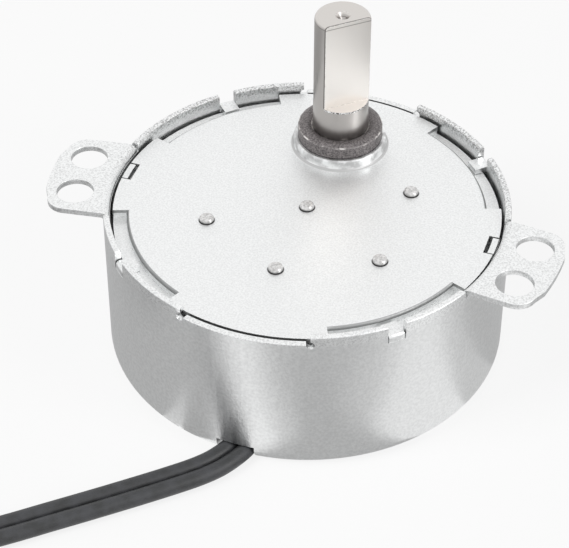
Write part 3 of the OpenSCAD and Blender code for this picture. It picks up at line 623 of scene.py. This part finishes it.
def rounded_copy(node, name, material, edge_material, body, edge, top_z=None, trim=None):
    """A copy of a CAD node with its cut edges rounded, three times as much above top_z.

    It stands for that node, and its rounded edges have a material of their own."""
    bm = bmesh.new()
    bm.from_mesh(frame["nodes"][node].data)
    bmesh.ops.remove_doubles(bm, verts=bm.verts, dist=WELD)
    if trim:
        trim(bm)
    bmesh.ops.dissolve_limit(bm, angle_limit=FLAT_ENOUGH, verts=bm.verts, edges=bm.edges)
    if top_z is not None:
        high = [e for e in sharp_edges(bm, SHEET_TURN) if min(v.co.z for v in e.verts) > top_z]
        bevelled(bm, high, 3 * edge, 3)
    cut = bevelled(bm, sharp_edges(bm, SHEET_TURN), edge, 2)
    for face in bm.faces:
        face.smooth = True
    for face in cut:
        face.material_index = 1
    mesh = finished_mesh(name, bm)
    piece = shown(name, mesh, material, body)
    mesh.materials.append(edge_material)
    mesh.set_sharp_from_angle(angle=SHEET_TURN)
    normals = piece.modifiers.new("Face normals", "WEIGHTED_NORMAL")
    normals.keep_sharp = True
    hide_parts(node)


def turned_mesh(name, profile, place):
    """A ring turned round the upright line at a place, from its closed (radius, height) section."""
    bm = bmesh.new()
    verts = [bm.verts.new((radius, 0, height)) for radius, height in profile]
    edges = [bm.edges.new((a, b)) for a, b in zip(verts, verts[1:] + verts[:1])]
    bmesh.ops.spin(bm, geom=verts + edges, axis=(0, 0, 1), cent=(0, 0, 0), angle=2 * math.pi,
                   steps=BUSH_STEPS, use_merge=True)
    bmesh.ops.remove_doubles(bm, verts=bm.verts, dist=WELD)
    bmesh.ops.recalc_face_normals(bm, faces=bm.faces)
    bmesh.ops.translate(bm, verts=bm.verts, vec=(place[0], place[1], 0))
    for face in bm.faces:
        face.smooth = True
    mesh = finished_mesh(name, bm)
    mesh.set_sharp_from_angle(angle=BUSH_TURN)
    return mesh


def paint(node, material):
    """Gives a CAD node its finish."""
    materials = frame["nodes"][node].data.materials
    materials.clear()
    materials.append(material)


def coil_route():
    """Points of the coil, from the end of the free stretch inwards."""
    points = []
    for i in range(COIL_STEPS + 1):
        share = COIL_TURNS * i / COIL_STEPS
        angle = math.radians(-90 - 360 * share)
        tail = TAIL_IN * (max(0, i + TAIL_STEPS - COIL_STEPS) / TAIL_STEPS) ** 2
        radius = COIL_RADIUS - COIL_PITCH * share - tail
        off = (math.degrees(angle) - TIE_ANGLE) % 360
        off = min(off, 360 - off)
        lift = TIE_LIFT * math.exp(-(off / TIE_SPREAD) ** 2)
        points.append((COIL_CENTRE[0] + radius * math.cos(angle),
                       COIL_CENTRE[1] + radius * math.sin(angle), LEAD_HEIGHT + lift))
    return points


def smooth_route(points, steps):
    """A smooth curve through the points, with steps between each two."""
    route = []
    last = len(points) - 1
    for i in range(last):
        a, b, c, d = (Vector(points[min(max(k, 0), last)]) for k in (i - 1, i, i + 1, i + 2))
        for k in range(steps):
            t = k / steps
            route.append(0.5 * (2 * b + (c - a) * t + (2 * a - 5 * b + 4 * c - d) * t * t
                                + (3 * b - a - 3 * c + d) * t * t * t))
    route.append(Vector(points[last]))
    return route


def twin_section(lead):
    """Outline of the flat twin lead: two round lobes and a deep groove over the web between."""
    lobe = lead.thickness / 2
    centre = lead.width / 2 - lobe
    web_turn = math.asin(lead.web / 2 / lobe)
    outline = []
    for side, first in ((1, web_turn - math.pi), (-1, web_turn)):
        for i in range(LOBE_STEPS + 1):
            angle = first + 2 * (math.pi - web_turn) * i / LOBE_STEPS
            outline.append((side * centre + lobe * math.cos(angle), lobe * math.sin(angle)))
    return outline


def lead_mesh(name, route, outline):
    """A tube of that outline along the route, closed at both ends."""
    bm = bmesh.new()
    rings = []
    last = len(route) - 1
    for i, point in enumerate(route):
        along = (route[min(i + 1, last)] - route[max(i - 1, 0)]).normalized()
        side = along.cross(Vector((0, 0, 1))).normalized()
        up = side.cross(along)
        rings.append([bm.verts.new(point + side * x + up * z) for x, z in outline])
    for ring, after in zip(rings, rings[1:]):
        for k in range(len(outline)):
            nxt = (k + 1) % len(outline)
            bm.faces.new((ring[k], ring[nxt], after[nxt], after[k]))
    bm.faces.new(rings[0][::-1])
    bm.faces.new(rings[-1])
    bmesh.ops.recalc_face_normals(bm, faces=bm.faces)
    for face in bm.faces:
        face.smooth = len(face.verts) == 4
    mesh = finished_mesh(name, bm)
    mesh.set_sharp_from_angle(angle=LEAD_TURN)
    return mesh


def make_camera(studio):
    """The camera, at the picture's place."""
    view = Vector((-math.sin(studio.heading) * math.cos(studio.elevation),
                   math.cos(studio.heading) * math.cos(studio.elevation),
                   -math.sin(studio.elevation)))
    data = bpy.data.cameras.new("camera")
    data.sensor_fit = "HORIZONTAL"
    data.sensor_width = SENSOR_WIDTH
    data.lens = studio.focal_px / IMAGE_WIDTH * SENSOR_WIDTH
    data.shift_x, data.shift_y = (shift / IMAGE_WIDTH for shift in SHIFT_PX)
    data.clip_start = 0.01
    camera = placed("camera", data)
    camera.location = Vector(studio.aim) - view * studio.distance
    camera.rotation_euler = (math.pi / 2 - studio.elevation, 0.0, studio.heading)
    bpy.context.scene.camera = camera


def seen_or_mirrored(tree):
    """A factor that is 1 for the eye and for reflections, and 0 for other light; and its path."""
    path = add(tree, "ShaderNodeLightPath").outputs
    seen = add(tree, "ShaderNodeMath", {0: path["Is Camera Ray"], 1: path["Is Glossy Ray"]},
               operation="MAXIMUM").outputs[0]
    return seen, path


def make_sky(studio):
    """White to the eye and in reflections, and plain soft light for the rest."""
    world = bpy.data.worlds.new("studio_white")
    bpy.context.scene.world = world
    world.use_nodes = True
    tree = world.node_tree
    tree.nodes.clear()
    seen, path = seen_or_mirrored(tree)
    seen = add(tree, "ShaderNodeMath", {0: seen, 1: path["Is Transmission Ray"]},
               operation="MAXIMUM").outputs[0]
    back = add(tree, "ShaderNodeBackground", {
        "Color": (1, 1, 1, 1), "Strength": between(tree, seen, studio.sky, 1.0, 0.0, 1.0)})
    add(tree, "ShaderNodeOutputWorld", {"Surface": back.outputs["Background"]})


def make_bench():
    """A pale bench that reads as white and keeps a light shadow."""
    bm = bmesh.new()
    bmesh.ops.create_circle(bm, cap_ends=True, radius=BENCH_RADIUS, segments=64)
    bmesh.ops.translate(bm, verts=bm.verts, vec=(0, 0, BENCH_Z))
    bench = placed("bench", finished_mesh("bench", bm))
    material, tree = bare_material("white_laminate")
    matt = add(tree, "ShaderNodeBsdfDiffuse", {"Color": linear("#F2F2F2")})
    glow = add(tree, "ShaderNodeEmission", {"Color": (1, 1, 1, 1), "Strength": 1.0})
    share = add(tree, "ShaderNodeMath", {0: seen_or_mirrored(tree)[0], 1: BENCH_GLOW},
                operation="MULTIPLY")
    seen = add(tree, "ShaderNodeMixShader", {
        0: share.outputs[0], 1: matt.outputs["BSDF"], 2: glow.outputs["Emission"]})
    add(tree, "ShaderNodeOutputMaterial", {"Surface": seen.outputs["Shader"]})
    bench.data.materials.append(material)


def make_card(name, colour, bm):
    """A sheet on the bench that only reflections show, as a photographer's card does."""
    card = placed(name, finished_mesh(name, bm))
    material, tree = bare_material(name)
    glow = add(tree, "ShaderNodeEmission", {"Color": linear(colour), "Strength": 1.0})
    add(tree, "ShaderNodeOutputMaterial", {"Surface": glow.outputs["Emission"]})
    card.data.materials.append(material)
    for ray in ("camera", "diffuse", "transmission", "shadow", "volume_scatter"):
        setattr(card, "visible_" + ray, False)


def make_cards(studio):
    """A grey sheet round the can, and strips on it that give its wall two soft bright bands.

    The wall at a turn from the camera mirrors what lies at twice that turn, so each strip starts
    under the wall and runs out that way."""
    bm = bmesh.new()
    bmesh.ops.create_circle(bm, cap_ends=True, radius=CARD_RADIUS, segments=64)
    bmesh.ops.translate(bm, verts=bm.verts, vec=(0, 0, CARD_Z))
    make_card("grey_card", "#B8B8B8", bm)
    to_camera = Matrix.Rotation(studio.heading - math.pi / 2, 4, "Z")
    for name, turn, width, colour, height in STRIPS:
        turn = math.radians(turn)
        start = (CAN_RADIUS * math.cos(turn), CAN_RADIUS * math.sin(turn), height)
        bm = bmesh.new()
        bmesh.ops.create_grid(bm, x_segments=1, y_segments=1, size=0.5)
        bmesh.ops.transform(bm, verts=bm.verts, matrix=(
            to_camera @ Matrix.Translation(start) @ Matrix.Rotation(2 * turn, 4, "Z")
            @ Matrix.Translation((STRIP_LENGTH / 2, 0, 0))
            @ Matrix.Diagonal((STRIP_LENGTH, width, 1, 1))))
        make_card(name, colour, bm)


def make_lamps():
    """A key box high on the left and a weaker one on the right."""
    for name, place, size, power, mirrored in LAMPS:
        data = bpy.data.lights.new(name, "AREA")
        data.shape = "RECTANGLE"
        data.size, data.size_y = size
        data.energy = power
        lamp = placed(name, data)
        lamp.location = place
        way = Vector(place) - Vector(LAMP_AIM)
        lamp.rotation_euler = way.to_track_quat("Z", "Y").to_euler()
        lamp.visible_glossy = mirrored


class MOTOR_OT_studio(bpy.types.Operator):
    """Sets the camera, the soft light and the pale bench"""

    bl_idname = "motor.studio"
    bl_label = "Studio"

    def execute(self, context):
        studio = context.scene.motor_studio
        make_camera(studio)
        make_sky(studio)
        make_bench()
        make_cards(studio)
        make_lamps()
        context.scene.view_settings.view_transform = "Standard"
        return {"FINISHED"}


class MOTOR_OT_finishes(bpy.types.Operator):
    """Makes every finish and gives it to the CAD nodes"""

    bl_idname = "motor.finishes"
    bl_label = "Finishes"

    def execute(self, context):
        finishes = finish_all(context.scene.motor_finish)
        for part in frame["record"]["subparts"]:
            paint(part["node"], finishes[part["material_slot"]])
        pin_steel = turned_pin_steel()
        for node in PINS:
            paint(node, pin_steel)
        return {"FINISHED"}


class MOTOR_OT_lead(bpy.types.Operator):
    """Lays the flat twin lead from the can to its coil, in place of the CAD lead and coil"""

    bl_idname = "motor.lead"
    bl_label = "Lead"

    def execute(self, context):
        lead = context.scene.motor_lead
        route = smooth_route(LEAD_ROUTE + coil_route()[1:], ROUTE_STEPS)
        piece = shown("twin_lead", lead_mesh("twin_lead", route, twin_section(lead)),
                      bpy.data.materials["pvc_insulation"], "housing")
        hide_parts("lead", "lead_coil")
        return {"FINISHED"}


class MOTOR_OT_shell(bpy.types.Operator):
    """Finishes the can and the cover plate, with their cut edges rounded"""

    bl_idname = "motor.shell"
    bl_label = "Shell"

    def execute(self, context):
        finish = context.scene.motor_finish
        drawn = drawn_zinc_steel(finish.can_colour)
        pressed = pressed_zinc_steel("pressed_cover_steel", finish.plate_colour, True)
        torn = sheared_edge("sheared_zinc_edge", "#8E8E8E", "#FFFFFF")
        rounded_copy("can", "drawn_can", drawn, torn, "housing",
                     finish.edge_radius, top_z=RIM_SLOPE, trim=trim_ears)
        rounded_copy("cover_plate", "pressed_cover", pressed, torn, "housing",
                     COVER_ROUNDING * finish.edge_radius)
        return {"FINISHED"}


class MOTOR_OT_output(bpy.types.Operator):
    """Finishes the output shaft and its bush"""

    bl_idname = "motor.output"
    bl_label = "Output"

    def execute(self, context):
        finish = context.scene.motor_finish
        burred = sheared_edge("milled_shaft_edge", "#55514E", "#FFFFFF")
        rounded_copy("output_shaft", "ground_shaft", ground_shaft_steel(finish.shaft_colour),
                     burred, "output", SHAFT_ROUNDING * finish.edge_radius)
        bush = shown("oiled_bush", turned_mesh("oiled_bush", BUSH_PROFILE, OUTPUT_AT),
                     bpy.data.materials["oiled_sintered_iron"], "housing")
        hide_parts("output_bush")
        return {"FINISHED"}


class MOTOR_PT_sidebar(bpy.types.Panel):
    """The motor's steps and sizes"""

    bl_idname = "MOTOR_PT_sidebar"
    bl_label = "Synchronous gear motor"
    bl_space_type = "VIEW_3D"
    bl_region_type = "UI"
    bl_category = "Motor"

    def draw(self, context):
        for step in STEPS:
            self.layout.operator(step.bl_idname)
        for group in GROUPS:
            settings = getattr(context.scene, group)
            for name in settings.bl_rna.properties.keys():
                if name not in ("rna_type", "name"):
                    self.layout.prop(settings, name)


# In the order that they run: the lead and the bush take finishes that are made before them
STEPS = (MOTOR_OT_studio, MOTOR_OT_finishes, MOTOR_OT_lead, MOTOR_OT_shell, MOTOR_OT_output)
GROUPS = {"motor_finish": MotorFinish, "motor_lead": LeadShape, "motor_studio": StudioSetup}
CLASSES = (*GROUPS.values(), *STEPS, MOTOR_PT_sidebar)


def register():
    for kind in CLASSES:
        bpy.utils.register_class(kind)
    for name, kind in GROUPS.items():
        setattr(bpy.types.Scene, name, bpy.props.PointerProperty(type=kind))


def unregister():
    for name in GROUPS:
        delattr(bpy.types.Scene, name)
    for kind in reversed(CLASSES):
        bpy.utils.unregister_class(kind)


def main():
    register()
    for step in STEPS:
        group, name = step.bl_idname.split(".")
        getattr(getattr(bpy.ops, group), name)()


if __name__ == "__main__":
    main()
